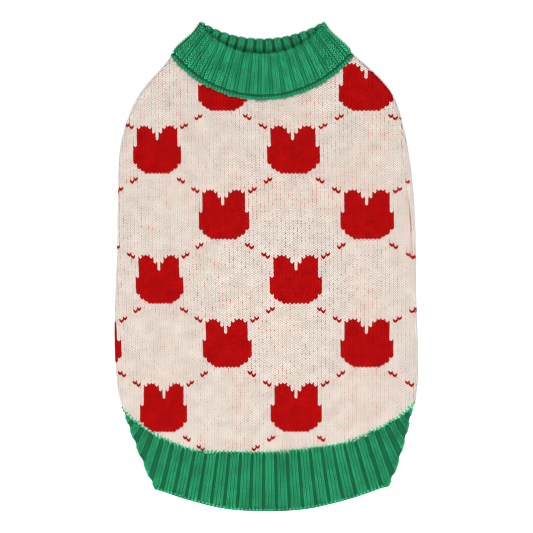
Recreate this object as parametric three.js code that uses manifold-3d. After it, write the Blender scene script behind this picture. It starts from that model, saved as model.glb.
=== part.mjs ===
// Cat sweater in two-colour jacquard knit with ribbed trims, laid out flat on its belly.
// Millimetres. +X across the back, +Y towards the neck, +Z up; the underside rests at z = 0.
//
// The garment is one flattened tube. The longer back panel lies on the shorter belly panel,
// and both turn softly at the sides. The neck rib is folded double. The hem rib runs along the
// back, folds under at the lower corners and arches across the belly.
import * as THREE from "three";
import { mergeVertices } from "three/addons/utils/BufferGeometryUtils.js";
import Module from "manifold-3d";

// Cloth
const CLOTH_WALL = 2.8; // jacquard with its floats, and the single rib of hem and leg bands
const COLLAR_WALL = 4.2; // rib folded double
const SEAM_GAP = 0.3;
const TURNING_GAP = 0.9; // wider where the cloth turns, as its inner faces come closer

// The flat tube
const UPPER_INNER_Z = 3.4; // where the back panel's inner face lies
const SIDE_RISE = 1.2; // how much higher it rides where it turns at a side
const SIDE_RISE_REACH = 14; // how far in from the side that rise dies out
const FOLD_RADIUS = (UPPER_INNER_Z + SIDE_RISE) / 2; // of the cloth's middle, at a side
const FOLD_LENGTH = Math.PI * FOLD_RADIUS;
const FOLD_INSET = FOLD_RADIUS + CLOTH_WALL / 2; // from the outline in to where the turn starts

// Outline: distance from the middle of the back out to each side, from the neck to the hem
const OUTLINE = [
  { y: 143, left: 65, right: 60.4 },
  { y: 134, left: 72.2, right: 70.6 },
  { y: 123, left: 82.2, right: 81.4 },
  { y: 112, left: 89.6, right: 88.2 },
  { y: 98, left: 95.6, right: 92.8 },
  { y: 79, left: 100.2, right: 96.8 },
  { y: 50, left: 101.4, right: 100.4 },
  { y: 14, left: 101.9, right: 102 },
  { y: -24, left: 103.4, right: 102.3 },
  { y: -60, left: 103.2, right: 103.4 },
  { y: -84, left: 101.4, right: 102.8 },
  { y: -100, left: 97.3, right: 99.2 },
  { y: -117, left: 91.3, right: 95.1 },
  { y: -139, left: 82.5, right: 88.4 },
  { y: -153, left: 76, right: 82 },
];

// Side seams between back and belly: millimetres past the start of the side fold, or short of it
const SIDE_SEAMS = [
  { y: 143, left: 4.4, right: 4.4 },
  { y: 112, left: 4.4, right: 4 },
  { y: 98, left: 4.4, right: 3 },
  { y: 84, left: 4.4, right: 0.6 },
  { y: 66, left: 4.4, right: -1.2 },
  { y: 40, left: 4.4, right: 0.2 },
  { y: 10, left: 4.4, right: 1.2 },
  { y: -14, left: 4.4, right: 2.6 },
  { y: -50, left: 4.4, right: 3.4 },
  { y: -100, left: 4.4, right: 3.9 },
];

// Neck: arcs about a point above the collar, on the back (near) and at the throat (far)
const NECK_X = -3;
const NECK_TURN_X = 60; // how far to the side of that the collar turns
const NEAR_BASE = { y: 192.5, radius: 79, half: 0.9076 };
const NEAR_RIM = { y: 197.1, radius: 52.5, half: 0.9477 };
const FAR_BASE = { y: 240.2, radius: 114.7, half: 0.574 };
const FAR_RIM = { y: 235.58, radius: 80.5, half: 0.5568 };
const COLLAR_SLACK = 0.8; // between the collar's two walls where they lie together
const MOUTH_RISE = 6.2; // extra height of the open mouth at the middle of the rim

// Hem rib, a row for each line across the band: its seam end and its free end, in plan, whether
// each end lies under the garment, and the steps to the next row. From the middle of the back
// round by the right.
const HEM = [
  { seamX: 0, seamY: -127.3, seamUnder: false, edgeX: 0, edgeY: -166.6, edgeUnder: false, steps: 2 },
  { seamX: 24, seamY: -125.2, seamUnder: false, edgeX: 27.5, edgeY: -165, edgeUnder: false, steps: 2 },
  { seamX: 48, seamY: -122, seamUnder: false, edgeX: 55.7, edgeY: -158.5, edgeUnder: false, steps: 2 },
  { seamX: 66, seamY: -115.8, seamUnder: false, edgeX: 77, edgeY: -151, edgeUnder: false, steps: 3 },
  { seamX: 71, seamY: -113.3, seamUnder: false, edgeX: 82.2, edgeY: -149.5, edgeUnder: false, steps: 5 },
  { seamX: 82, seamY: -107.8, seamUnder: false, edgeX: 73, edgeY: -144, edgeUnder: true, steps: 4 },
  { seamX: 88, seamY: -104, seamUnder: false, edgeX: 69.8, edgeY: -138, edgeUnder: true, steps: 4 },
  { seamX: 94.5, seamY: -99.5, seamUnder: false, edgeX: 64, edgeY: -131.5, edgeUnder: true, steps: 4 },
  { seamX: 99.3, seamY: -94, seamUnder: false, edgeX: 59.5, edgeY: -122, edgeUnder: true, steps: 5 },
  { seamX: 97, seamY: -86, seamUnder: true, edgeX: 55, edgeY: -110, edgeUnder: true, steps: 2 },
  { seamX: 82, seamY: -63, seamUnder: true, edgeX: 46, edgeY: -88.2, edgeUnder: true, steps: 2 },
  { seamX: 62, seamY: -42, seamUnder: true, edgeX: 34.5, edgeY: -73.2, edgeUnder: true, steps: 2 },
  { seamX: 34, seamY: -19, seamUnder: true, edgeX: 19, edgeY: -57, edgeUnder: true, steps: 2 },
  { seamX: 2, seamY: -9, seamUnder: true, edgeX: 2, edgeY: -47, edgeUnder: true, steps: 2 },
  { seamX: -30, seamY: -20, seamUnder: true, edgeX: -15, edgeY: -57, edgeUnder: true, steps: 2 },
  { seamX: -58, seamY: -45, seamUnder: true, edgeX: -30.5, edgeY: -73.2, edgeUnder: true, steps: 2 },
  { seamX: -78, seamY: -68, seamUnder: true, edgeX: -42, edgeY: -88.2, edgeUnder: true, steps: 2 },
  { seamX: -93.5, seamY: -91, seamUnder: true, edgeX: -52, edgeY: -108, edgeUnder: true, steps: 5 },
  { seamX: -96.6, seamY: -98, seamUnder: false, edgeX: -54, edgeY: -124, edgeUnder: true, steps: 5 },
  { seamX: -91, seamY: -105, seamUnder: false, edgeX: -55, edgeY: -134, edgeUnder: true, steps: 4 },
  { seamX: -86, seamY: -108, seamUnder: false, edgeX: -58, edgeY: -141, edgeUnder: true, steps: 4 },
  { seamX: -79, seamY: -113, seamUnder: false, edgeX: -64.7, edgeY: -147, edgeUnder: true, steps: 4 },
  { seamX: -71, seamY: -117.3, seamUnder: false, edgeX: -73.6, edgeY: -150.5, edgeUnder: true, steps: 3 },
  { seamX: -63, seamY: -121, seamUnder: false, edgeX: -70.5, edgeY: -153, edgeUnder: false, steps: 2 },
  { seamX: -47, seamY: -126, seamUnder: false, edgeX: -53, edgeY: -159, edgeUnder: false, steps: 2 },
  { seamX: -24, seamY: -127.2, seamUnder: false, edgeX: -27.5, edgeY: -165, edgeUnder: false, steps: 2 },
];

// The arch of the belly hem. Past it the back has nothing under it and settles on the table.
const ARCH = { x: 2, top: -47, half: 81, depth: 103, power: 1.5 };
const SETTLE = { start: 8, run: 24 };

// Leg holes in the belly panel, with a flat ribbed band round each
const LEG_HOLES = [
  { name: "leg_band_left", x: -53, y: 53, tilt: 0.2 },
  { name: "leg_band_right", x: 53, y: 53, tilt: -0.2 },
];
const LEG_OPENING = { across: 20, along: 28 }; // half sizes
const LEG_BAND_WIDTH = 9;

const CREAM = 0xe6d8cc;
const GREEN = 0x239160;

// ---- small helpers ----

const mix = (a, b, t) => a + (b - a) * t;
const clamp = (t) => Math.min(1, Math.max(0, t));
const ease = (t) => clamp(t) ** 2 * (3 - 2 * clamp(t));

// A smooth curve through a table's column, against its y column, which falls row by row.
function readTable(table, column, y) {
  const last = table.length - 1;
  let i = 0;
  while (i < last - 1 && y < table[i + 1].y) i += 1;
  const rise = (j) => {
    const above = table[Math.max(0, j - 1)];
    const below = table[Math.min(last, j + 1)];
    return (below[column] - above[column]) / (below.y - above.y);
  };
  const a = table[i];
  const b = table[i + 1];
  const span = b.y - a.y;
  const t = clamp((y - a.y) / span);
  const keep = 2 * t ** 3 - 3 * t ** 2 + 1;
  const leave = t ** 3 - 2 * t ** 2 + t;
  const arrive = t ** 3 - t ** 2;
  return (
    keep * a[column] + (1 - keep) * b[column] + span * (leave * rise(i) + arrive * rise(i + 1))
  );
}

// Where a rising function of t crosses zero between low and high.
function solve(rising, low, high) {
  for (let i = 0; i < 40; i += 1) {
    const middle = (low + high) / 2;
    if (rising(middle) < 0) low = middle;
    else high = middle;
  }
  return (low + high) / 2;
}

// ---- the flat tube ----
// A place on the tube is (c, y). c counts turns from the middle of the back, 0, rightwards: 1 and
// 2 are the start and end of the right side fold, 3 the middle of the belly, 4 and 5 the left
// side fold's, and 6 is the middle of the back again. The left half may be negative, too.

function sideOf(c) {
  const round = c < 0 ? c + 6 : c;
  const left = round > 3;
  return { sign: left ? -1 : 1, column: left ? "left" : "right", turns: left ? 6 - round : round };
}

// The width of one flat side of the tube, from the middle to where the fold starts.
function flatWidth(column, y) {
  return readTable(OUTLINE, column, y) - FOLD_INSET;
}

// How far the upper cloth has come down past the arch of the belly hem.
function settled(x, y) {
  const off = Math.abs(x - ARCH.x) / ARCH.half;
  const archY = ARCH.top - ARCH.depth * off ** ARCH.power;
  const slope = (ARCH.depth / ARCH.half) * ARCH.power * off ** (ARCH.power - 1);
  const past = (archY - y) / Math.hypot(1, slope);
  return UPPER_INNER_Z * ease((past - SETTLE.start) / SETTLE.run);
}

// A point on the cloth, lift millimetres out from its middle.
function tubePoint(c, y, lift) {
  const { sign, column, turns } = sideOf(c);
  const flat = flatWidth(column, y);
  if (turns <= 1) {
    const x = sign * turns * flat;
    const rise = SIDE_RISE * Math.exp(-(((flat * (1 - turns)) / SIDE_RISE_REACH) ** 2));
    const z = CLOTH_WALL / 2 + UPPER_INNER_Z + rise - settled(x, y);
    return new THREE.Vector3(x, y, z + lift);
  }
  if (turns < 2) {
    const angle = (turns - 1) * Math.PI;
    const radius = FOLD_RADIUS + lift;
    return new THREE.Vector3(
      sign * (flat + radius * Math.sin(angle)),
      y,
      CLOTH_WALL / 2 + FOLD_RADIUS + radius * Math.cos(angle),
    );
  }
  return new THREE.Vector3(sign * (3 - turns) * flat, y, CLOTH_WALL / 2 - lift);
}

// How far a place given in plan lies from the middle of the back, going round by one side.
function distanceRound(column, x, y, under) {
  const out = column === "left" ? -x : x;
  const flat = flatWidth(column, y);
  if (out <= flat) return under ? 2 * flat + FOLD_LENGTH - out : out;
  const angle = Math.asin(clamp((out - flat) / FOLD_RADIUS));
  return flat + FOLD_RADIUS * (under ? Math.PI - angle : angle);
}

// The turns at such a distance.
function turnsAfter(column, distance, y) {
  const flat = flatWidth(column, y);
  let turns = distance / flat;
  if (distance > flat) turns = 1 + (distance - flat) / FOLD_LENGTH;
  if (distance > flat + FOLD_LENGTH) turns = 2 + (distance - flat - FOLD_LENGTH) / flat;
  return column === "left" ? 6 - turns : turns;
}

// ---- walls from a grid of places ----

// A closed wall between an outer and an inner grid of points. Columns run to the right seen
// from outside and rows upwards; a ring's last column joins its first. The faces at opposite
// ends are split the same way, so that two walls that meet keep their gap.
function wallGeometry(columns, rows, pointAt, isRing) {
  const positions = [];
  for (const side of [1, -1]) {
    for (let i = 0; i < columns; i += 1) {
      for (let j = 0; j < rows; j += 1) positions.push(...pointAt(i, j, side).toArray());
    }
  }
  const faces = [];
  const at = (i, j, side) => (side > 0 ? 0 : columns * rows) + (i % columns) * rows + j;
  const quad = (a, b, c, d) => faces.push(a, b, c, a, c, d);
  const spans = isRing ? columns : columns - 1;
  for (let i = 0; i < spans; i += 1) {
    for (let j = 0; j < rows - 1; j += 1) {
      quad(at(i, j, 1), at(i + 1, j, 1), at(i + 1, j + 1, 1), at(i, j + 1, 1));
      quad(at(i, j, -1), at(i, j + 1, -1), at(i + 1, j + 1, -1), at(i + 1, j, -1));
    }
    quad(at(i + 1, 0, -1), at(i + 1, 0, 1), at(i, 0, 1), at(i, 0, -1));
    const top = rows - 1;
    quad(at(i, top, 1), at(i + 1, top, 1), at(i + 1, top, -1), at(i, top, -1));
  }
  if (!isRing) {
    const end = columns - 1;
    for (let j = 0; j < rows - 1; j += 1) {
      quad(at(0, j, -1), at(0, j, 1), at(0, j + 1, 1), at(0, j + 1, -1));
      quad(at(end, j + 1, 1), at(end, j, 1), at(end, j, -1), at(end, j + 1, -1));
    }
  }
  const geometry = new THREE.BufferGeometry();
  geometry.setAttribute("position", new THREE.Float32BufferAttribute(positions, 3));
  geometry.setIndex(faces);
  return geometry;
}

function piece(name, geometry, color) {
  const material = new THREE.MeshStandardMaterial({ color, roughness: 0.95, metalness: 0 });
  const mesh = new THREE.Mesh(geometry, material);
  mesh.name = name;
  return mesh;
}

// ---- hem rib ----

const HEM_HALF = HEM.length / 2; // the row at the middle of the belly
const HEM_STOPS = []; // the band's columns, counted in rows of its table
HEM.forEach((row, i) => {
  for (let step = 0; step < row.steps; step += 1) HEM_STOPS.push(i + step / row.steps);
});
const HEM_ROWS = 11;
const HEM_FOLD_ROW = 4; // the first of the four rows that mark the fold, from the seam
const HEM_LEAST_SHARE = 0.05;

// The hem's seam or free edge at row k of the table, which may fall between rows: how far round
// it lies by its side, and its y, by a Catmull-Rom spline round the ring.
function hemPlace(end, k) {
  const column = k < HEM_HALF ? "right" : "left";
  const place = (i) => {
    const row = HEM[(i + HEM.length) % HEM.length];
    const y = row[`${end}Y`];
    return { round: distanceRound(column, row[`${end}X`], y, row[`${end}Under`]), y };
  };
  const i = Math.min(Math.floor(k), HEM.length - 1);
  const t = k - i;
  const [a, b, c, d] = [place(i - 1), place(i), place(i + 1), place(i + 2)];
  const spline = (key) =>
    0.5 *
    (2 * b[key] +
      (c[key] - a[key]) * t +
      (2 * a[key] - 5 * b[key] + 4 * c[key] - d[key]) * t ** 2 +
      (3 * b[key] - a[key] - 3 * c[key] + d[key]) * t ** 3);
  return { column, round: spline("round"), y: spline("y") };
}

// One line across the band, from its free edge to its seam, as places (turns, y). Four of its
// rows mark where it passes the side fold, and the others share out what is left before and
// after. No two rows come closer than the least share of the line.
function hemLine(k) {
  const seam = hemPlace("seam", k);
  const edge = hemPlace("edge", k);
  const length = Math.hypot(edge.round - seam.round, edge.y - seam.y);
  const start = SEAM_GAP / 2 / length;
  const place = (share) => {
    const down = mix(start, 1, share);
    const y = mix(seam.y, edge.y, down);
    return { c: turnsAfter(seam.column, mix(seam.round, edge.round, down), y), y };
  };
  const foldStart = solve((share) => sideOf(place(share).c).turns - 1, 0, 1);
  const foldEnd = solve((share) => sideOf(place(share).c).turns - 2, 0, 1);
  const last = HEM_ROWS - 1;
  const line = [];
  for (let j = 0; j <= last; j += 1) {
    let share = (foldStart * j) / HEM_FOLD_ROW;
    if (j > HEM_FOLD_ROW) share = mix(foldStart, foldEnd, (j - HEM_FOLD_ROW) / 3);
    if (j > HEM_FOLD_ROW + 3) {
      share = mix(foldEnd, 1, (j - HEM_FOLD_ROW - 3) / (last - HEM_FOLD_ROW - 3));
    }
    const least = j * HEM_LEAST_SHARE;
    const most = 1 - (last - j) * HEM_LEAST_SHARE;
    line.unshift(place(Math.min(most, Math.max(least, share))));
  }
  return line;
}

function hemGeometry() {
  const lines = HEM_STOPS.map(hemLine);
  const pointAt = (i, j, side) => {
    const { c, y } = lines[i][j];
    return tubePoint(c, y, (side * CLOTH_WALL) / 2);
  };
  return wallGeometry(lines.length, HEM_ROWS, pointAt, true);
}

// The seam as a line of places (turns, y), with the gap that the panels keep to it.
const SEAM_LINE = [...HEM_STOPS, HEM.length].map((k) => {
  const isLast = k === HEM.length;
  const place = hemPlace("seam", k);
  const near = hemPlace("seam", isLast ? k - 0.01 : k + 0.01);
  const slope = (near.y - place.y) / (near.round - place.round);
  const c = isLast ? 6 : turnsAfter(place.column, place.round, place.y);
  return { c, y: place.y + (SEAM_GAP / 2) * Math.hypot(1, slope) };
});

function seamY(c) {
  const round = c < 0 ? c + 6 : c;
  let i = 0;
  while (i < SEAM_LINE.length - 2 && SEAM_LINE[i + 1].c < round) i += 1;
  const a = SEAM_LINE[i];
  const b = SEAM_LINE[i + 1];
  return mix(a.y, b.y, clamp((round - a.c) / (b.c - a.c)));
}

// ---- panels ----

// The neck edge of a panel at turns c: the near arc on the back, the far one at the throat.
function neckY(c) {
  const arcY = (arc, x) => {
    const gap = mix(SEAM_GAP, TURNING_GAP, ease(Math.abs(x - NECK_X) / NECK_TURN_X));
    const drop = (arc.radius + gap) ** 2 - (x - NECK_X) ** 2;
    return arc.y - Math.sqrt(Math.max(0, drop));
  };
  const { turns } = sideOf(c);
  const farShare = ease((turns - 1.3) / 0.4);
  const rising = (y) => {
    const x = tubePoint(c, y, 0).x;
    return y - mix(arcY(NEAR_BASE, x), arcY(FAR_BASE, x), farShare);
  };
  return solve(rising, 90, 143);
}

const ROW_CROWDING = 1.2; // over 1 brings the rows closer together towards the shoulders

// A panel from a list of columns, each giving its turns at any y.
function panelGeometry(columns, rows) {
  const ends = columns.map((column) => {
    const low = solve((y) => y - seamY(column(y)), -135, 0);
    const high = solve((y) => y - neckY(column(y)), 90, 143);
    return { low, high };
  });
  const pointAt = (i, j, side) => {
    const share = 1 - (1 - j / (rows - 1)) ** ROW_CROWDING;
    const y = mix(ends[i].low, ends[i].high, share);
    return tubePoint(columns[i](y), y, (side * CLOTH_WALL) / 2);
  };
  return wallGeometry(columns.length, rows, pointAt, false);
}

// The turns of a side seam at y, half a seam gap to the back's side of it or to the belly's.
function sideSeam(column, y, toBelly) {
  const past = readTable(SIDE_SEAMS, column, y) + (toBelly * TURNING_GAP) / 2;
  return turnsAfter(column, flatWidth(column, y) + past, y);
}

// Columns of the back or the belly, each starting at a corner of the hem's seam. Those between
// "still" turns and the side seam slide with the side seam, which the last column follows.
function panelColumns(still, toBelly) {
  const seams = {
    left: (y) => sideSeam("left", y, toBelly),
    right: (y) => sideSeam("right", y, toBelly),
  };
  const onBack = toBelly < 0;
  const slide = (corner) => {
    const column = corner.c > 3 ? "left" : "right";
    const fixed = column === "left" ? 6 - still : still;
    const share = (corner.c - fixed) / (seams[column](corner.y) - fixed);
    return share <= 0 ? () => corner.c : (y) => fixed + share * (seams[column](y) - fixed);
  };
  const isBack = ({ c, y }) => c < seams.right(y) || c > seams.left(y);
  const own = SEAM_LINE.slice(0, -1).filter((corner) => isBack(corner) === onBack);
  const order = ({ c }) => (onBack && c > 3 ? c - 6 : c);
  own.sort((a, b) => order(a) - order(b));
  const ends = onBack ? [seams.left, seams.right] : [seams.right, seams.left];
  return [ends[0], ...own.map(slide), ends[1]];
}

const PANEL_ROWS = 16;

const backGeometry = () => panelGeometry(panelColumns(0.85, -1), PANEL_ROWS);
const bellyGeometry = () => panelGeometry(panelColumns(2, 1), PANEL_ROWS);

// ---- collar ----

const COLLAR_TURN = { middle: (COLLAR_WALL + COLLAR_SLACK) / 2 }; // radius at its side folds

// A place in plan on an arc of the collar, in millimetres from its left end, at a height from
// 0, the base, to 1, the rim.
function collarPlan(base, rim, along, height) {
  const spot = (arc) => {
    const whole = 2 * arc.half * arc.radius;
    const angle = -arc.half + along(whole) / arc.radius;
    return {
      x: NECK_X + arc.radius * Math.sin(angle),
      y: arc.y - arc.radius * Math.cos(angle),
    };
  };
  const low = spot(base);
  const high = spot(rim);
  return { x: mix(low.x, high.x, height), y: mix(low.y, high.y, height) };
}

// Stations round the collar: how far across from the left, 0 to 1, on the near or the far wall,
// or an angle up from the outermost line of a side fold.
const COLLAR_FLAT_STEPS = 20;
const COLLAR_STATIONS = [];
for (let i = 0; i <= COLLAR_FLAT_STEPS; i += 1) {
  COLLAR_STATIONS.push({ across: i / COLLAR_FLAT_STEPS, up: Math.PI / 2 });
}
for (const up of [1, 0.5, 0, -0.5, -1]) COLLAR_STATIONS.push({ across: 1, up });
for (let i = COLLAR_FLAT_STEPS; i >= 0; i -= 1) {
  COLLAR_STATIONS.push({ across: i / COLLAR_FLAT_STEPS, up: -Math.PI / 2 });
}
for (const up of [-1, -0.5, 0, 0.5, 1]) COLLAR_STATIONS.push({ across: 0, up });

// Heights up the band, with how thick it is there: the folded rim is rounded.
const COLLAR_ROWS = [
  { height: 0, thick: 0.86 },
  { height: 0.04, thick: 1 },
  { height: 0.25, thick: 1 },
  { height: 0.5, thick: 1 },
  { height: 0.75, thick: 1 },
  { height: 0.93, thick: 0.94 },
  { height: 0.98, thick: 0.76 },
  { height: 1, thick: 0.45 },
];

function collarGeometry() {
  const pointAt = (i, j, side) => {
    const { across, up } = COLLAR_STATIONS[i];
    const { height, thick } = COLLAR_ROWS[j];
    const lift = (side * thick * COLLAR_WALL) / 2;
    const inset = COLLAR_TURN.middle + COLLAR_WALL / 2;
    const reach = inset - (COLLAR_TURN.middle + lift) * Math.cos(up);
    const along = (whole) => mix(reach, whole - reach, across);
    const near = collarPlan(NEAR_BASE, NEAR_RIM, along, height);
    const far = collarPlan(FAR_BASE, FAR_RIM, along, height);
    const nearShare = ease((up + 0.6) / 1.2);
    const mouth = Math.sin(Math.PI * across) ** 1.2 * height ** 1.2;
    const open = up > 1.5 ? MOUTH_RISE * mouth : 0;
    const z = COLLAR_WALL / 2 + COLLAR_TURN.middle + (COLLAR_TURN.middle + lift) * Math.sin(up);
    return new THREE.Vector3(mix(far.x, near.x, nearShare), mix(far.y, near.y, nearShare), z + open);
  };
  return wallGeometry(COLLAR_STATIONS.length, COLLAR_ROWS.length, pointAt, true);
}

// ---- leg holes ----

const LEG_SEGMENTS = 14;

function ellipse(across, along) {
  const shape = new THREE.Shape();
  shape.absellipse(0, 0, across, along, 0, 2 * Math.PI, false, 0);
  return shape;
}

function slab(shape, bottom, top, hole) {
  const options = { depth: top - bottom, bevelEnabled: false, curveSegments: LEG_SEGMENTS };
  return new THREE.ExtrudeGeometry(shape, options)
    .rotateZ(hole.tilt)
    .translate(hole.x, hole.y, bottom);
}

function legBand(hole) {
  const band = ellipse(LEG_OPENING.across + LEG_BAND_WIDTH, LEG_OPENING.along + LEG_BAND_WIDTH);
  band.holes.push(ellipse(LEG_OPENING.across, LEG_OPENING.along));
  return slab(band, 0, CLOTH_WALL, hole);
}

function legCutter(hole) {
  const reach = LEG_BAND_WIDTH + SEAM_GAP;
  const cut = ellipse(LEG_OPENING.across + reach, LEG_OPENING.along + reach);
  return slab(cut, -1, UPPER_INNER_Z - 0.2, hole);
}

const wasm = await Module();
wasm.setup();

// A closed geometry as a manifold-3d solid, with its shared corners merged.
function solid(geometry) {
  const bare = new THREE.BufferGeometry();
  bare.setAttribute("position", geometry.getAttribute("position"));
  if (geometry.index) bare.setIndex(geometry.index);
  const merged = mergeVertices(bare, 1e-4);
  const vertProperties = new Float32Array(merged.attributes.position.array);
  const triVerts = new Uint32Array(merged.index.array);
  return new wasm.Manifold(new wasm.Mesh({ numProp: 3, vertProperties, triVerts }));
}

function geometryOf(manifold) {
  const mesh = manifold.getMesh();
  const geometry = new THREE.BufferGeometry();
  geometry.setAttribute("position", new THREE.BufferAttribute(mesh.vertProperties, 3));
  geometry.setIndex(new THREE.BufferAttribute(mesh.triVerts, 1));
  return geometry;
}

function bellyWithLegHoles() {
  let belly = solid(bellyGeometry());
  for (const hole of LEG_HOLES) belly = belly.subtract(solid(legCutter(hole)));
  return geometryOf(belly);
}

// ---- the sweater ----

const sweater = new THREE.Group();
sweater.add(piece("back_panel", backGeometry(), CREAM));
sweater.add(piece("belly_panel", bellyWithLegHoles(), CREAM));
sweater.add(piece("hem_rib", hemGeometry(), GREEN));
sweater.add(piece("neck_rib", collarGeometry(), GREEN));
for (const hole of LEG_HOLES) sweater.add(piece(hole.name, legBand(hole), GREEN));

export default sweater;
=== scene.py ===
# %% [markdown]
# # A knitted cat sweater, laid out flat
#
# The real object is a small machine-knitted garment. Two panels of cream jacquard with red
# motifs are linked into a tube, and green ribs finish the neck, the hem and the leg holes.
# The CAD model already holds the true sizes, so this lesson starts by loading it as a fixed
# frame and only adds what the eye wants to see: thin cloth, stitches, ribs and yarn.

# %% Load the frame
import math

import bmesh
import bpy
import numpy as np
from mathutils import Matrix


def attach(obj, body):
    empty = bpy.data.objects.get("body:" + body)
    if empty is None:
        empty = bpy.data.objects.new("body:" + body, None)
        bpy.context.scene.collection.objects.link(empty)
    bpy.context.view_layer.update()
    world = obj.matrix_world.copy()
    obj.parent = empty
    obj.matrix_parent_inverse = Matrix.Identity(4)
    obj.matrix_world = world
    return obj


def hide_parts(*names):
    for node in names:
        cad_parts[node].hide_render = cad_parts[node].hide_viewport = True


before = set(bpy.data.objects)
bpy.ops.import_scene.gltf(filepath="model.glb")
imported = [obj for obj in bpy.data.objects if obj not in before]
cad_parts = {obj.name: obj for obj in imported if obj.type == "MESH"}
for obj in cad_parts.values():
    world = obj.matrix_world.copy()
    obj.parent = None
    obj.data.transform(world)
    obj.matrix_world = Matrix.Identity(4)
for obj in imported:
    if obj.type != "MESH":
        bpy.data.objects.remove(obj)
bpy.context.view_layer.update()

MM = 0.001

# %% [markdown]
# ## The form of the flat tube
#
# The garment is a tube pressed flat. A place on it is given by the side it lies on (right is
# 1, left is -1), by how far round it is from the middle of the back, and by its height y up
# the garment. Pattern cutters work with such measurements too. The tables below are the same
# as the part's own, in millimetres, so each stitch later lands on the solid it stands for.

# %% Sizes of the cloth and tables of the outline
CLOTH_WALL = 2.8
UPPER_INNER_Z = 3.4
SIDE_RISE = 1.2
SIDE_RISE_REACH = 14
FOLD_RADIUS = (UPPER_INNER_Z + SIDE_RISE) / 2
FOLD_LENGTH = math.pi * FOLD_RADIUS
FOLD_INSET = FOLD_RADIUS + CLOTH_WALL / 2

# height y, then the distance from the middle out to the left and to the right side
OUTLINE = np.array([
    (143, 65, 60.4), (134, 72.2, 70.6), (123, 82.2, 81.4), (112, 89.6, 88.2), (98, 95.6, 92.8),
    (79, 100.2, 96.8), (50, 101.4, 100.4), (14, 101.9, 102), (-24, 103.4, 102.3),
    (-60, 103.2, 103.4), (-84, 101.4, 102.8), (-100, 97.3, 99.2), (-117, 91.3, 95.1),
    (-139, 82.5, 88.4), (-153, 76, 82),
])
# height y, then how far the side seams lie past the start of the side folds
SIDE_SEAMS = np.array([
    (143, 4.4, 4.4), (112, 4.4, 4), (98, 4.4, 3), (84, 4.4, 0.6), (66, 4.4, -1.2),
    (40, 4.4, 0.2), (10, 4.4, 1.2), (-14, 4.4, 2.6), (-50, 4.4, 3.4), (-100, 4.4, 3.9),
])


def mix(a, b, t):
    return a + (b - a) * t


def ease(t):
    t = np.clip(t, 0, 1)
    return t * t * (3 - 2 * t)


def read_table(table, column, y):
    """A smooth curve through one column of a table, read at the heights y."""
    ys, values = table[::-1, 0], table[::-1, column]
    n = len(ys)
    above, below = np.minimum(np.arange(n) + 1, n - 1), np.maximum(np.arange(n) - 1, 0)
    slopes = (values[above] - values[below]) / (ys[above] - ys[below])
    i = np.clip(np.searchsorted(ys, y) - 1, 0, n - 2)
    span = ys[i + 1] - ys[i]
    t = np.clip((y - ys[i]) / span, 0, 1)
    keep = 2 * t**3 - 3 * t**2 + 1
    bend = (t**3 - 2 * t**2 + t) * slopes[i] + (t**3 - t**2) * slopes[i + 1]
    return keep * values[i] + (1 - keep) * values[i + 1] + span * bend


def by_side(table, side, y):
    return np.where(side > 0, read_table(table, 2, y), read_table(table, 1, y))


def flat_width(side, y):
    return by_side(OUTLINE, side, y) - FOLD_INSET


print("width at the chest, mm:", float(by_side(OUTLINE, -1, 0) + by_side(OUTLINE, 1, 0)))

# %% [markdown]
# ## How the cloth lies
#
# Cloth on a table is never quite flat. The back panel settles where the belly panel ends under
# it, and a few soft creases stay from folding and wearing. Each crease is a row in a table, a
# long low swelling (or a trough, when its height is negative) at a place and an angle. Placing
# them one by one keeps them uneven, as real ones are, which a regular noise wouldn't.

# %% Settling, creases, and a place on the tube
ARCH = {"x": 2, "top": -47, "half": 81, "depth": 103, "power": 1.5}
SETTLE_START, SETTLE_RUN = 8, 24

# x, y of the middle, direction in degrees, half length, half width, height
CREASES = np.array([
    (-46, -84, 58, 34, 5.0, 0.42), (-60, -66, 60, 26, 7.0, -0.3), (50, -92, 122, 30, 5.5, 0.4),
    (66, -72, 118, 26, 7.0, -0.26), (-20, -58, 40, 22, 7.0, 0.2), (28, -66, 138, 20, 7.0, 0.22),
    (-62, 96, 38, 30, 6.0, 0.3), (-70, 60, 74, 34, 7.0, -0.3), (40, 104, 150, 28, 6.0, 0.25),
    (74, 40, 96, 40, 8.0, 0.35), (-84, 0, 88, 50, 6.0, 0.3), (4, 30, 12, 40, 9.0, -0.2),
    (-30, -6, 170, 36, 9.0, 0.2), (46, -14, 20, 34, 8.0, -0.22), (10, 88, 95, 24, 10.0, -0.2),
])


def settled(x, y):
    """How far the upper cloth has come down past the arch of the belly hem."""
    off = np.abs(x - ARCH["x"]) / ARCH["half"]
    arch_y = ARCH["top"] - ARCH["depth"] * off ** ARCH["power"]
    slope = ARCH["depth"] / ARCH["half"] * ARCH["power"] * off ** (ARCH["power"] - 1)
    past = (arch_y - y) / np.hypot(1, slope)
    return UPPER_INNER_Z * ease((past - SETTLE_START) / SETTLE_RUN)


def creased(x, y):
    """Soft creases and a slow unevenness in the height of the upper cloth."""
    height = 0.12 * np.sin(x / 17 + 1.3 * np.sin(y / 31)) * np.sin(y / 23 + 0.7)
    for cx, cy, degrees, long, wide, high in CREASES:
        cos, sin = math.cos(math.radians(degrees)), math.sin(math.radians(degrees))
        along = ((x - cx) * cos + (y - cy) * sin) / long
        across = ((y - cy) * cos - (x - cx) * sin) / wide + 0.5 * along**2
        height = height + high * np.exp(-(along**2) - across**2)
    return height


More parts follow.
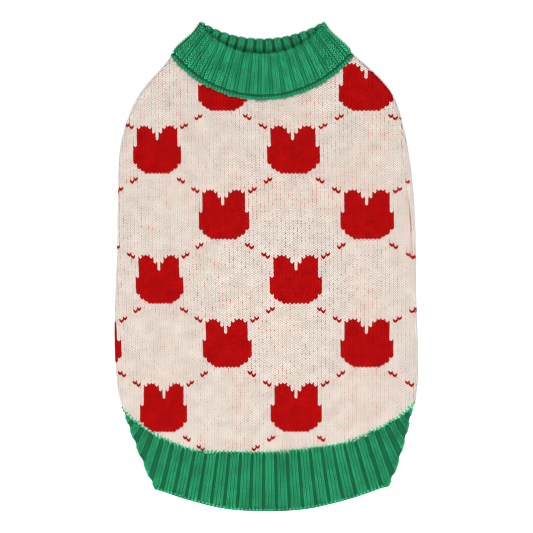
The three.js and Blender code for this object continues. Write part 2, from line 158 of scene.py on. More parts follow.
def on_tube(side, distance, y, lift):
    """Points on the cloth, lift millimetres out from the middle of its wall, in metres."""
    flat = flat_width(side, y)
    past = distance - flat
    turn = np.clip(past / FOLD_RADIUS, 0, math.pi)
    radius = FOLD_RADIUS + lift
    out = np.minimum(distance, flat) - np.maximum(past - FOLD_LENGTH, 0) + radius * np.sin(turn)
    x = side * out
    inner = np.maximum(-past, 0) / SIDE_RISE_REACH
    rise = SIDE_RISE * np.exp(-(inner**2)) + creased(x, y) * (1 - np.exp(-(inner**2)))
    upper = UPPER_INNER_Z + rise - settled(x, y) + lift
    z = CLOTH_WALL / 2 + np.where(past < 0, upper, FOLD_RADIUS + radius * np.cos(turn))
    return np.stack(np.broadcast_arrays(x, y, z), axis=-1) * MM


def half_girth(side, y):
    return 2 * flat_width(side, y) + FOLD_LENGTH


print("girth at the chest, mm:", round(float(half_girth(-1, 0) + half_girth(1, 0)), 1))

# %% [markdown]
# ## Where the pieces meet
#
# The hem band is one ring. Its table has a row for each line across it: x and y of its end at
# the seam, and 1 where that end lies underneath, then the same for its free end. These lines
# cross the side folds at a slant, which is why the ribs fan out at the corners.
# The neck is drawn with arcs about a point above the collar, one set for the near wall on the
# back and one for the far wall at the throat.

# %% The hem's table and its places
HEM = np.array([
    (0, -127.3, 0, 0, -166.6, 0), (24, -125.2, 0, 27.5, -165, 0), (48, -122, 0, 55.7, -158.5, 0),
    (66, -115.8, 0, 77, -151, 0), (71, -113.3, 0, 82.2, -149.5, 0), (82, -107.8, 0, 73, -144, 1),
    (88, -104, 0, 69.8, -138, 1), (94.5, -99.5, 0, 64, -131.5, 1), (99.3, -94, 0, 59.5, -122, 1),
    (97, -86, 1, 55, -110, 1), (82, -63, 1, 46, -88.2, 1), (62, -42, 1, 34.5, -73.2, 1),
    (34, -19, 1, 19, -57, 1), (2, -9, 1, 2, -47, 1), (-30, -20, 1, -15, -57, 1),
    (-58, -45, 1, -30.5, -73.2, 1), (-78, -68, 1, -42, -88.2, 1), (-93.5, -91, 1, -52, -108, 1),
    (-96.6, -98, 0, -54, -124, 1), (-91, -105, 0, -55, -134, 1), (-86, -108, 0, -58, -141, 1),
    (-79, -113, 0, -64.7, -147, 1), (-71, -117.3, 0, -73.6, -150.5, 1),
    (-63, -121, 0, -70.5, -153, 0), (-47, -126, 0, -53, -159, 0), (-24, -127.2, 0, -27.5, -165, 0),
])
HEM_ROWS = len(HEM)


def distance_round(side, x, y, under):
    """How far a place given in plan lies from the middle of the back, round by one side."""
    out, flat = side * x, flat_width(side, y)
    angle = np.arcsin(np.clip((out - flat) / FOLD_RADIUS, 0, 1))
    on_top = np.where(out <= flat, out, flat + FOLD_RADIUS * angle)
    return np.where(under > 0, 2 * flat + FOLD_LENGTH - on_top, on_top)


def hem_place(end, k):
    """The seam (0) or the free edge (1) at row k, which may fall between rows."""
    k = np.asarray(k, float)
    side = np.where(k < HEM_ROWS / 2, 1, -1)
    i = np.minimum(np.floor(k), HEM_ROWS - 1).astype(int)
    t = k - i
    knots = []
    for step in (-1, 0, 1, 2):
        row = HEM[(i + step) % HEM_ROWS]
        x, y, under = row[..., 3 * end], row[..., 3 * end + 1], row[..., 3 * end + 2]
        knots.append(np.stack([distance_round(side, x, y, under), y], axis=-1))
    a, b, c, d = knots
    t = t[..., None]
    place = 0.5 * (2 * b + (c - a) * t + (2 * a - 5 * b + 4 * c - d) * t**2
                   + (3 * b - a - 3 * c + d) * t**3)
    return side, place[..., 0], place[..., 1]


def turns(side, distance, y):
    """0 at mid back, 1 and 2 at the right fold's ends, 3 mid belly, 4 and 5 the left's, 6."""
    flat = flat_width(side, y)
    count = np.where(distance > flat, 1 + (distance - flat) / FOLD_LENGTH, distance / flat)
    past = distance - flat - FOLD_LENGTH
    count = np.where(past > 0, 2 + past / flat, count)
    return np.where(side > 0, count, 6 - count)


seam_rows = np.linspace(0, HEM_ROWS - 1e-6, 1441)
seam_side, seam_round, seam_height = hem_place(0, seam_rows)
seam_turns = turns(seam_side, seam_round, seam_height)
seam_steps = np.hypot(np.diff(np.where(seam_side > 0, seam_round, -seam_round)),
                      np.diff(seam_height))
seam_steps[seam_steps > 20] = 0  # where the two sides meet under the belly
seam_along = np.append(0, np.cumsum(seam_steps))
HEM_GIRTH = float(seam_along[-1])
RIB_PITCH = 7.85  # mm along the seam
RIB_START = -1.8  # a furrow's place, mm right of the middle of the back
RIBS = round(HEM_GIRTH / RIB_PITCH)


def seam_y(side, distance, y):
    """The height of the hem's seam at the same turns round the tube."""
    return np.interp(turns(side, distance, y) % 6, seam_turns, seam_height)


def off_bar(along):
    """0 at the middle of a bar of the hem rib, and 1 at the middle of a furrow."""
    return np.abs(np.mod((along - RIB_START) / HEM_GIRTH * RIBS, 1) - 0.5) * 2


def scalloped_y(side, distance, y):
    """The seam's edge: the green comes up at each bar and the cream comes down between them."""
    along = np.interp(turns(side, distance, y) % 6, seam_turns, seam_along)
    return seam_y(side, distance, y) + 0.9 * (1 - off_bar(along) ** 2) - 0.3


print("hem seam, from and to, mm:", seam_height.min().round(1), seam_height.max().round(1))
print("hem girth", round(HEM_GIRTH, 1), "mm in", RIBS, "ribs")

# %% [markdown]
# ## The neck's arcs and the side seams
#
# A shop drawing would give the neck as arcs, and so does this. Each arc has a centre, a radius
# and half its angle, and the panels end a seam's gap short of them.

# %% The neck's arcs and the side seams
NECK_X = -3
# y of the arc's centre, its radius, and half its angle
NEAR_BASE, NEAR_RIM = (192.5, 79, 0.9076), (197.1, 52.5, 0.9477)
FAR_BASE, FAR_RIM = (240.2, 114.7, 0.574), (235.58, 80.5, 0.5568)
SEAM_GAP = 0.3


def neck_y(side, distance, y):
    """The height of the neck seam over a place on the tube."""
    flat = flat_width(side, y)
    share = ease(((distance - flat) / FOLD_LENGTH - 0.3) / 0.4)
    x = on_tube(side, distance, y, 0)[..., 0] / MM - NECK_X
    near, far = [
        centre - np.sqrt(np.maximum(0, (radius + SEAM_GAP) ** 2 - x**2))
        for centre, radius, _ in (NEAR_BASE, FAR_BASE)
    ]
    return mix(near, far, share)


def side_seam(side, y):
    return flat_width(side, y) + by_side(SIDE_SEAMS, side, y)


print("side seams at the chest, mm round:", side_seam(np.array([-1, 1]), 0.0).round(1))

# %% [markdown]
# ## Helpers for meshes
#
# Three small helpers serve the pieces. One hands a finished piece to the frame, one bends a
# flat grid onto the cloth with any of the place functions, and one finds where a panel's
# columns meet its seams. A grid keeps its own flat coordinates as a UV map, so the yarn's
# colour can be baked without stretching.

# %% Mesh helpers
def finish_piece(piece, slot, *nodes):
    """The piece stands for these CAD nodes, which it hides. The slot is not used."""
    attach(piece, "root")
    if nodes:
        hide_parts(*nodes)
    heights = [vert.co.z / MM for vert in piece.data.vertices]
    print(f"{piece.name}: {len(piece.data.polygons)} faces, z {min(heights):.2f} to "
          f"{max(heights):.2f} mm")
    return piece


def bent_grid(name, columns, rows, place, ring=False, wall=None):
    """A grid over u and v from 0 to 1, moved to place(u, v), then given a wall inwards."""
    bm = bmesh.new()
    uv = bm.loops.layers.uv.new("OFBake")
    bmesh.ops.create_grid(bm, x_segments=columns, y_segments=rows, size=0.5)
    flat = np.array([v.co[:2] for v in bm.verts]) + 0.5
    bm.verts.index_update()
    for face in bm.faces:
        for loop in face.loops:
            loop[uv].uv = flat[loop.vert.index]
    for vert, point in zip(bm.verts, place(flat[:, 0], flat[:, 1])):
        vert.co = point
    if ring:
        bmesh.ops.remove_doubles(bm, verts=bm.verts, dist=1e-6)
    mesh = bpy.data.meshes.new(name)
    bm.to_mesh(mesh)
    bm.free()
    mesh.shade_smooth()
    piece = bpy.data.objects.new(name, mesh)
    bpy.context.scene.collection.objects.link(piece)
    if wall:
        solid = piece.modifiers.new("wall", "SOLIDIFY")
        solid.thickness, solid.offset = wall * MM, -1
    return piece


def settle_ends(place_of, low_line, high_line, columns, low=(-135, 0), high=(90, 143)):
    """For each column, the heights where it meets its lower and its upper seam."""
    found = []
    for line, (a, b) in ((low_line, low), (high_line, high)):
        a, b = np.full(columns.shape, float(a)), np.full(columns.shape, float(b))
        for _ in range(30):
            middle = (a + b) / 2
            side, distance = place_of(columns, middle)
            over = middle > line(side, distance, middle)
            a, b = np.where(over, a, middle), np.where(over, middle, b)
        found.append((a + b) / 2)
    return found


# %% [markdown]
# ## Materials
#
# The yarn is a soft-spun acrylic, and the eye reads it from four things: a matt surface with
# a little sheen at grazing angles, slow changes of tone from one stretch of yarn to the next,
# fine mottling of the plies, and a bump too small to see as a shape. One function turns an
# sRGB hex colour to the linear values that Blender wants, and one adds a node with its
# settings and its links.

# %% Colour and node helpers
def linear(hex_colour):
    parts = [int(hex_colour[i:i + 2], 16) / 255 for i in (1, 3, 5)]
    return [p / 12.92 if p <= 0.04045 else ((p + 0.055) / 1.055) ** 2.4 for p in parts] + [1]


def add(tree, kind, settings=None, **links):
    """Adds a node. A link's value is another node's output, or a plain value to set."""
    node = tree.nodes.new(kind)
    for key, value in (settings or {}).items():
        setattr(node, key, value)
    for key, value in links.items():
        socket = node.inputs[int(key[1:])] if key[0] == "i" and key[1:].isdigit() else (
            node.inputs[key.replace("_", " ")])
        if isinstance(value, bpy.types.NodeSocket):
            tree.links.new(value, socket)
        else:
            socket.default_value = value
    return node


def yarn(name, shade, light, ply_mm=0.45, patch_mm=7.0, sheen=0.0, gloss=0.25, bump=0.35,
         deep=None):
    """Soft-spun acrylic between two tones, mottled at the size of its plies. A deep tone, if
    given, is painted shade: it darkens the low sides of each leg, where the strands shade each
    other. Real plies are about 0.5 mm, so on stitches they are drawn about twice as coarse, to
    show."""
    material = bpy.data.materials.new(name)
    material.use_nodes = True
    tree = material.node_tree
    shader = tree.nodes["Principled BSDF"]
    where = add(tree, "ShaderNodeTexCoord").outputs["Object"]
    plies = add(tree, "ShaderNodeTexNoise", Vector=where, Scale=1 / (ply_mm * MM),
                Detail=2.0, Roughness=0.6).outputs["Fac"]
    patches = add(tree, "ShaderNodeTexNoise", Vector=where, Scale=1 / (patch_mm * MM),
                  Detail=1.0).outputs["Fac"]
    both = add(tree, "ShaderNodeMix", i0=0.35, i2=plies, i3=patches).outputs[0]
    spread = add(tree, "ShaderNodeMapRange", Value=both, From_Min=0.36, From_Max=0.64)
    colour = add(tree, "ShaderNodeMix", {"data_type": "RGBA"}, i0=spread.outputs[0],
                 i6=linear(shade), i7=linear(light)).outputs[2]
    # painted shade: the deep tone darkens each leg's low sides, read from the tile's height
    if deep:
        top = add(tree, "ShaderNodeAttribute", {"attribute_name": "top"}).outputs["Fac"]
        rise = add(tree, "ShaderNodeMapRange", Value=top, From_Min=0.0, From_Max=0.6)
        colour = add(tree, "ShaderNodeMix", {"data_type": "RGBA"}, i0=rise.outputs[0],
                     i6=linear(deep), i7=colour).outputs[2]
    relief = add(tree, "ShaderNodeBump", Strength=bump, Distance=0.12 * MM, Height=plies)
    tree.links.new(colour, shader.inputs["Base Color"])
    tree.links.new(relief.outputs[0], shader.inputs["Normal"])
    shader.inputs["Roughness"].default_value = 0.9
    shader.inputs["Specular IOR Level"].default_value = gloss
    shader.inputs["Sheen Weight"].default_value = sheen
    shader.inputs["Sheen Roughness"].default_value = 0.5
    return material


# %% The yarns of this sweater
# cream acrylic: the ground colour of the jacquard, warm and very matt
cream_yarn = yarn("cream_acrylic_yarn", "#beb5ad", "#d8d2cb", ply_mm=0.9, sheen=0.02)
# red acrylic: the motifs, with painted shade in a deeper red on the low sides of each leg
red_yarn = yarn("red_acrylic_yarn", "#860304", "#a60707", ply_mm=0.9, gloss=0.05, deep="#7a0303")
# green acrylic: the stitches on the ribs; the darker green between them is painted shade
green_yarn = yarn("green_acrylic_yarn", "#0c7448", "#34c488", ply_mm=1.1, gloss=0.15)
# the same cream and green for the cloth behind the stitches, darker as painted shade for the gaps
cream_painted_shade = yarn("cream_acrylic_painted_shade", "#9b8c80", "#b0a195", ply_mm=0.8)
green_painted_shade = yarn("green_acrylic_painted_shade", "#063f26", "#0a5030", ply_mm=0.8)
# the red behind the stitches is real; its much darker tone than the yarn's top is painted shade
red_painted_shade = yarn("red_acrylic_painted_shade", "#520102", "#6c0203", ply_mm=0.8, gloss=0.02)
# the purl loops at the bottom of the furrows, a green between the other two: painted shade
furrow_painted_shade_yarn = yarn("green_acrylic_furrow_painted_shade", "#0a5235", "#106a45", gloss=0.05)
# the linked loops at the foot of the collar and its purl loops, a darker green as painted shade
link_painted_shade_yarn = yarn("green_acrylic_link_painted_shade", "#10704a", "#1a9060", gloss=0.05)
# red float: the carried yarn that shows as specks between the wales
float_yarn = yarn("red_float_yarn", "#9a342b", "#b04a3e", ply_mm=0.6, gloss=0.05)
print("materials:", [m.name for m in bpy.data.materials])

# %% [markdown]
# ## One stitch
#
# On the right side of the knit each loop shows as a V, two leaning legs that meet at the
# bottom. Each leg is an oval with its middle raised, so eight triangles are enough to catch
# the light like a rounded strand. The tile is one wale wide and one course tall, although the
# legs are longer than that: every V reaches into the one above it.

# %% The stitch tile
WALE, COURSE = 2.65, 1.62  # mm, the spacing of the columns and of the rows of loops
LEG_LONG, LEG_WIDE, LEG_HIGH = 1.4, 0.37, 0.95  # half length, half width and height in mm
LEG_LEAN = 33  # degrees
LEG_PEAK = 0.1  # how far up its length, as a share of the half, a leg is highest
LEG_TUCK = 0.16  # mm that the top end goes down under the stitch above


def raised_oval(bm, sides, wide, long, high, peak=0.0):
    """An oval with its middle raised, as a fan of triangles."""
    rim = bmesh.ops.create_circle(bm, cap_ends=True, segments=sides, radius=1)["verts"]
    face = next(f for f in bm.faces if set(f.verts) == set(rim))
    middle = bmesh.ops.poke(bm, faces=[face])["verts"]
    bmesh.ops.translate(bm, verts=middle, vec=(0, peak, high))
    oval = rim + middle
    bmesh.ops.scale(bm, verts=oval, vec=(wide, long, 1))
    return oval


def as_tile(bm):
    """The corners and the triangles of a bmesh, as arrays for knit to repeat."""
    bmesh.ops.triangulate(bm, faces=bm.faces)
    corners = np.array([vert.co for vert in bm.verts])
    faces = np.array([[vert.index for vert in face.verts] for face in bm.faces])
    bm.free()
    return corners, faces


def stitch_tile(wide=LEG_WIDE, high=LEG_HIGH, long=LEG_LONG):
    """A V of two leaning legs."""
    bm = bmesh.new()
    for side in (-1, 1):
        leg = raised_oval(bm, 8, wide, long, high, LEG_PEAK)
        for vert in leg:
            vert.co.z -= LEG_TUCK * vert.co.y / long
        lean = Matrix.Rotation(math.radians(-side * LEG_LEAN), 3, "Z")
        bmesh.ops.rotate(bm, verts=leg, cent=(0, 0, 0), matrix=lean)
        bmesh.ops.translate(bm, verts=leg, vec=(side * WALE / 4, 0, 0))
    return as_tile(bm)


def leg_tile(long, wide, high):
    """One upright leg in the flat coordinates of a stitch."""
    bm = bmesh.new()
    raised_oval(bm, 6, wide, long, high)
    return as_tile(bm)


def plate_tile(height):
    """A small plate behind a red stitch, so that no other colour shows through."""
    bm = bmesh.new()
    bmesh.ops.create_grid(bm, x_segments=1, y_segments=1, size=0.5)
    bmesh.ops.scale(bm, verts=bm.verts, vec=(WALE, COURSE, 1))
    bmesh.ops.translate(bm, verts=bm.verts, vec=(0, 0, height))
    return as_tile(bm)


STITCH = stitch_tile()
PLATE = plate_tile(0.12)
FINE_STITCH = stitch_tile(wide=0.31, high=0.95, long=1.15)  # the ribs take less yarn a loop
RED_STITCH = stitch_tile(wide=0.68, high=0.9, long=1.55)  # the red yarn swells over the cream
print("a stitch has", len(STITCH[1]), "triangles")

# %% [markdown]
# ## Many stitches in one mesh
#
# A panel has thousands of loops. Instances would be light, but the model has to be real
# geometry, so the tile's corners are repeated as one array and every loop gets its own small
# unevenness in place and height. The array is then bent onto the cloth in one go.

# %% Repeating a tile over the cloth
JITTER_ACROSS, JITTER_UP = 0.05, 0.07  # how unevenly the loops lie, as shares of a stitch
LEAST_HEIGHT = 0.82  # of the lowest loop, as a share of the highest


def counted(*counts):
    """Every combination of whole numbers below the counts, as flat arrays."""
    return [numbers.ravel() for numbers in np.indices(counts)]


def knit(name, material, place, across, up, wide, tall, tile=STITCH, seed=1):
    """A copy of the tile at each flat place, carried onto the cloth by place(a, b, height)."""
    corners, faces = tile
    n, m = len(across), len(corners)
    rng = np.random.default_rng(seed)
    across = across + rng.uniform(-JITTER_ACROSS, JITTER_ACROSS, n) * wide
    up = up + rng.uniform(-JITTER_UP, JITTER_UP, n) * tall
    high = rng.uniform(LEAST_HEIGHT, 1.0, n)
    a = across[:, None] + corners[:, 0] / WALE * np.broadcast_to(wide, n)[:, None]
    b = up[:, None] + corners[:, 1] / COURSE * np.broadcast_to(tall, n)[:, None]
    points = place(a, b, corners[:, 2] * high[:, None]).reshape(-1, 3)
    triangles = (faces[None] + m * np.arange(n)[:, None, None]).reshape(-1, 3)
    mesh = bpy.data.meshes.new(name)
    mesh.from_pydata(points.tolist(), [], triangles.tolist())
    flat = np.stack([a.ravel(), b.ravel()], axis=1)
    flat = (flat - flat.min(axis=0)) / np.ptp(flat, axis=0)
    uv = mesh.uv_layers.new(name="OFBake")
    uv.data.foreach_set("uv", flat[triangles.ravel()].ravel())
    # a corner's height within its tile, which a yarn reads to paint shade on a leg's low sides
    top = (corners[:, 2] - corners[:, 2].min()) / max(np.ptp(corners[:, 2]), 0.01)
    mesh.attributes.new("top", "FLOAT", "POINT").data.foreach_set("value", np.tile(top, n))
    mesh.shade_smooth()
    mesh.materials.append(material)
    piece = bpy.data.objects.new(name, mesh)
    bpy.context.scene.collection.objects.link(piece)
    return piece


# %% [markdown]
# ## The jacquard chart
#
# A knitter reads the motif from a chart, a square for each stitch. It repeats every 36 wales
# and 54 courses, and again half-way in both, so the rows of motifs alternate. Short pairs of
# single stitches step diagonally from motif to motif and make the lattice. Each column of the
# motif below gives its first and last course, counted down from the top.

# %% The chart
REPEAT_WALES, REPEAT_COURSES = 36, 54
MOTIF = [(9, 15), (1, 17), (0, 18), (0, 19), (1, 19), (3, 19), (6, 19),
         (3, 19), (1, 19), (0, 19), (0, 18), (1, 17), (9, 15)]
MOTIF_MIDDLE = (6, 10)
STEPS = [(6, 12), (7, 13), (10, 16), (11, 17)]  # wales out and courses down, on both sides


def charted(wale, course):
    """True where the chart has a red stitch. Courses count downwards."""
    red = np.zeros(np.broadcast(wale, course).shape, bool)
    for half in (0, 1):
        w = (wale - half * REPEAT_WALES // 2 + REPEAT_WALES // 2) % REPEAT_WALES
        c = (course - half * REPEAT_COURSES // 2 + REPEAT_COURSES // 2) % REPEAT_COURSES
        w, c = w - REPEAT_WALES // 2, c - REPEAT_COURSES // 2
        for column, (first, last) in enumerate(MOTIF):
            row = c + MOTIF_MIDDLE[1]
            red |= (w == column - MOTIF_MIDDLE[0]) & (row >= first) & (row <= last)
        for out, down in STEPS:
            red |= (np.abs(w) == out) & (c == down)
    return red


def within_red(w, c):
    """True where the stitches on both sides, above and below are red too."""
    return charted(w - 1, c) & charted(w + 1, c) & charted(w, c - 1) & charted(w, c + 1)


for course in range(-9, 19, 3):
    print("".join("#" if charted(np.array(w), np.array(course)) else "." for w in range(-18, 19)))

# %% [markdown]
# ## Wales and courses on the panels
#
# Jacquard doesn't lie perfectly square. The floats on its back draw it in where there is more
# red, so the wales run a little closer on the left than on the right, and the columns of
# motifs drift as they go up. Two small tables say where the motifs' columns and rows lie, and
# each stitch finds its own place between them.

# %% Where each wale and each course lies
MOTIF_WALES = np.array([-54, -18, 0, 18, 36, 72])
MOTIF_HEIGHTS = np.array([-74, 13, 100])
MOTIF_PLACES = np.array([
    (-158.3, -69.7, -26.9, 20.1, 67.7, 168.5), (-162.4, -73.8, -29.6, 20.1, 68.3, 169.1),
    (-163.1, -74.5, -30.3, 17.3, 67.7, 168.5),
])
MOTIF_COURSES = np.array([-27, 0, 27, 54, 81, 108, 135, 162])
COURSE_HEIGHTS = np.array([164.9, 121.2, 79.7, 34.9, -9.4, -52.2, -96.4, -140.1]) - 0.5
BELLY_SHIFT = 28  # wales from the middle of the belly to the chart's own zero


def course_y(course):
    return np.interp(course, MOTIF_COURSES, COURSE_HEIGHTS)


def wale_on_back(wale, y):
    rows = np.stack([np.interp(wale, MOTIF_WALES, row) for row in MOTIF_PLACES])
    level = np.clip((y - MOTIF_HEIGHTS[0]) / 87, 0, 1.999)
    low = np.floor(level).astype(int)
    index = np.indices(np.shape(y))[0] if np.ndim(y) else ()
    return mix(rows[low, index], rows[low + 1, index], level - low)


def on_back(a, y, lift):
    """The back's flat coordinate a is the distance round, negative to the left."""
    return on_tube(np.where(a < 0, -1, 1), np.abs(a), y, lift)


def on_belly(a, y, lift):
    """The belly's runs the other way, as one sees it from below."""
    side = np.where(a < 0, 1, -1)
    return on_tube(side, half_girth(side, y) - np.abs(a), y, lift)


def inside(side, distance, y):
    """True between the hem's seam and the neck's."""
    return (y > scalloped_y(side, distance, y)) & (y < neck_y(side, distance, y) - SEAM_GAP)


def all_stitches(wales, courses):
    w, c = np.meshgrid(np.arange(*wales), np.arange(*courses))
    return w.ravel(), c.ravel()


BACK_PAST_SEAM, BELLY_PAST_SEAM = 0.3, 0.8  # mm that the stitches go past the side seams


def back_stitches():
    w, c = all_stitches((-40, 56), (-16, 160))
    y = course_y(c)
    a = wale_on_back(w, y)
    side = np.where(a < 0, -1, 1)
    keep = np.abs(a) < side_seam(side, y) + BACK_PAST_SEAM
    keep &= inside(side, np.abs(a), y)
    pitch = (wale_on_back(w + 0.5, y) - wale_on_back(w - 0.5, y))[keep]
    tall = (course_y(c - 0.5) - course_y(c + 0.5))[keep]
    return w[keep], c[keep], a[keep], y[keep], pitch, tall


w, c, a, y, pitch, tall = back_stitches()
behind_hem = (c > 150) & (np.abs((w + 18) % 36 - 18) < 7)  # these ears start under the green
red = charted(w, c) & ~behind_hem
print("back stitches:", len(w), "of which red:", int(red.sum()))

# %% [markdown]
# ## The back panel
#
# The panel is one sheet of knit. Its ground is a thin shell in the shape of its solid, in the
# shadowed tone that one sees between the stitches, and the stitches are laid on it as one mesh
# of cream legs and one of red. Real geometry is heavier than a bump map, but it keeps its
# relief from every side and its V shapes hold where the cloth turns over the side folds.

# %% Back panel
GROUND_LIFT = 0.42  # the ground's face, out from the middle of the cloth's wall
GROUND_WALL = 1.5
GROUND_TUCK = 1.1  # mm of cream ground left out above the hem's seam
WALE_CLOSE = 0.93  # the two legs of a loop lie closer than those of neighbours
RED_PROUD, RED_SIZE = 0.3, 1.06  # the red yarn stands a little over the cream
# the plates behind red stitches carry a dark red painted shade
PLATE_TALL = 1.2  # the dark ground behind a red stitch, in courses


def back_place(u, y):
    side = np.where(u < 0.5, -1, 1)
    return side, np.abs(2 * u - 1) * side_seam(side, y)


def belly_place(u, y):
    side = np.where(u < 0.5, 1, -1)
    return side, half_girth(side, y) - np.abs(2 * u - 1) * (
        half_girth(side, y) - side_seam(side, y))


def panel_grid(place_of, columns):
    """The ends of a panel's columns, and a place function for bent_grid."""
    us = np.linspace(0, 1, columns + 1)
    low, high = settle_ends(place_of, seam_y, neck_y, us)

    def place(u, v):
        y = mix(np.interp(u, us, low) + GROUND_TUCK, np.interp(u, us, high), v)
        side, distance = place_of(u, y)
        return on_tube(side, distance, y, GROUND_LIFT)
    return place


def knit_panel(name, on_panel, a, y, pitch, tall, red, deep, proud, size, seeds):
    """The cream and the red stitches, and behind the red inside a motif, plates of dark red painted
    shade.
    """
    def raised(up):
        return lambda a, y, h: on_panel(a, y, GROUND_LIFT + up + h)
    return [
        knit(f"{name}_cream_stitches", cream_yarn, raised(0), a[~red], y[~red],
             pitch[~red] * WALE_CLOSE, tall[~red], seed=seeds[0]),
        knit(f"{name}_red_stitches", red_yarn, raised(proud), a[red], y[red],
             pitch[red] * size, tall[red] * size, tile=RED_STITCH, seed=seeds[1]),
        # the plates are red painted shade, standing in for the shadow between the red stitches
        knit(f"{name}_red_painted_shade", red_painted_shade, raised(proud), a[deep], y[deep],
             pitch[deep] * size, tall[deep] * PLATE_TALL, tile=PLATE, seed=seeds[1]),
    ]


back_ground = bent_grid("back_panel_ground", 110, 90, panel_grid(back_place, 110),
                        wall=GROUND_WALL)
# the ground's darker cream is painted shade for the gaps between the stitches
back_ground.data.materials.append(cream_painted_shade)
back_cream, back_red, back_plates = knit_panel(
    "back_panel", on_back, a, y, pitch, tall, red, red & within_red(w, c),
    RED_PROUD, RED_SIZE, (1, 2))
finish_piece(back_ground, "cream_knit", "back_panel")
for piece in (back_cream, back_red, back_plates):
    finish_piece(piece, "cream_knit")

# %% [markdown]
# ## Red floats and the right side seam
#
# In jacquard the yarn that isn't wanted is carried across the back of the cloth. Where the
# cream loops part a little, that red shows through as specks in broken lines between the wales,
# more of them near the motifs. The right side seam is linked in red too, and a row of its small
# loops comes over the edge. Both are small flat legs that lie low between the stitches.

# %% Floats and seam loops
def near_red(w, c, reach_wales=5, reach_courses=7):
    """From 0 to 1, how many of the stitches around are red."""
    count = np.zeros(w.shape)
    steps = [(i, j) for i in range(-reach_wales, reach_wales + 1, 2)
             for j in range(-reach_courses, reach_courses + 1, 2)]
    for i, j in steps:
        count += charted(w + i, c + j)
    return count / len(steps)


rng = np.random.default_rng(11)
patch = 0.5 + 0.5 * np.sin(a / 19 + 1.1) * np.sin(y / 27 - 0.6)
upper_middle = np.exp(-(((a - 10) / 55) ** 2) - ((y - 70) / 60) ** 2)
chance = 0.06 + 0.34 * near_red(w, c) + 0.12 * patch + 0.16 * upper_middle
chance = chance + 0.1 * (a > 20)
runs = 0.5 + 0.5 * np.sin(c * 0.43 + w * 2.3) * np.sin(c * 0.19 + w * 1.7)
chance = chance * (0.45 + 1.3 * runs)
shows = (rng.random(len(w)) < chance) & ~red & ~charted(w + 1, c)
floats = knit("back_panel_red_floats", float_yarn,
              lambda a, y, h: on_back(a, y, GROUND_LIFT + h),
              (a + pitch / 2)[shows], (y - 0.3)[shows], pitch[shows], tall[shows],
              tile=leg_tile(0.5, 0.34, 0.8), seed=3)
finish_piece(floats, "cream_knit")

seam_ys = np.arange(0, 96, 1.7)
seam_ys = seam_ys[rng.random(len(seam_ys)) < 0.8]
seam_loops = knit("side_seam_red_loops", red_yarn,
                  lambda a, y, h: on_back(a, y, GROUND_LIFT + h),
                  side_seam(1, seam_ys) - 0.6 + rng.uniform(-0.3, 0.3, len(seam_ys)),
                  seam_ys, WALE, COURSE, tile=leg_tile(0.7, 0.4, 1.0), seed=4)
finish_piece(seam_loops, "cream_knit")

# %% [markdown]
# ## The belly panel
#
# The belly is the same knit with a leg hole cut on each side of the chest. From above only a
# strip of it shows at the side folds, but a shelf of parts is looked at from all round, so it
# gets the same stitches. The holes are opened in the shell by taking out the faces inside an
# oval and pulling the ragged edge out to that oval, and stitches inside are left out.

# %% Belly panel
LEG_HOLES = [(-53, 53, 0.2), (53, 53, -0.2)]  # x, y, tilt in radians
LEG_ACROSS, LEG_ALONG, LEG_BAND = 20, 28, 9


def in_hole(x, y, hole):
    """How many ovals out a place in plan is: under 1 is inside the leg band's outer edge."""
    hx, hy, tilt = hole
    cos, sin = math.cos(tilt), math.sin(tilt)
    across = (x - hx) * cos + (y - hy) * sin
    along = (y - hy) * cos - (x - hx) * sin
    return np.hypot(across / (LEG_ACROSS + LEG_BAND + SEAM_GAP),
                    along / (LEG_ALONG + LEG_BAND + SEAM_GAP))


def open_holes(piece):
    bm = bmesh.new()
    bm.from_mesh(piece.data)
    for hole in LEG_HOLES:
        def ovals(co):
            return float(in_hole(co.x / MM, co.y / MM, hole))
        gone = [f for f in bm.faces
                if ovals(f.calc_center_median()) < 1 and f.calc_center_median().z < 2 * MM]
        bmesh.ops.delete(bm, geom=gone, context="FACES")
        for vert in {v for e in bm.edges if e.is_boundary for v in e.verts}:
            out = ovals(vert.co)
            if 0.8 < out < 1.2:
                vert.co.x = (hole[0] + (vert.co.x / MM - hole[0]) / out) * MM
                vert.co.y = (hole[1] + (vert.co.y / MM - hole[1]) / out) * MM
    bm.to_mesh(piece.data)
    bm.free()


def belly_stitches():
    w, c = all_stitches((-45, 46), (-16, 130))
    y = course_y(c)
    a = w * WALE
    side = np.where(a < 0, 1, -1)
    distance = half_girth(side, y) - np.abs(a)
    keep = distance > side_seam(side, y) - BELLY_PAST_SEAM
    keep &= inside(side, distance, y)
    for hole in LEG_HOLES:
        keep &= in_hole(-a, y, hole) > 1.02
    tall = (course_y(c - 0.5) - course_y(c + 0.5))[keep]
    return w[keep], c[keep], a[keep], y[keep], np.full(keep.sum(), WALE), tall


belly_ground = bent_grid("belly_panel_ground", 120, 84, panel_grid(belly_place, 120))
open_holes(belly_ground)
solid = belly_ground.modifiers.new("wall", "SOLIDIFY")
solid.thickness, solid.offset = GROUND_WALL * MM, -1
belly_ground.data.materials.append(cream_painted_shade)
w, c, a, y, pitch, tall = belly_stitches()
red = charted(w + BELLY_SHIFT, c)
belly_cream, belly_red, belly_plates = knit_panel(
    "belly_panel", on_belly, a, y, pitch, tall, red, red & within_red(w + BELLY_SHIFT, c),
    0, 1, (5, 6))
finish_piece(belly_ground, "cream_knit", "belly_panel")
for piece in (belly_cream, belly_red, belly_plates):
    finish_piece(piece, "cream_knit")
print("belly stitches:", len(w))

# %% [markdown]
# ## The hem rib
#
# A rib stretches because knit and purl wales alternate: the knit ones stand up in bars and the
# purl ones sink into furrows between them. The ground of the hem is one ring of cloth whose
# surface is raised and lowered along the seam. Down its length the furrow starts just under the
# seam and ends before the bound edge, where all the wales come level again.

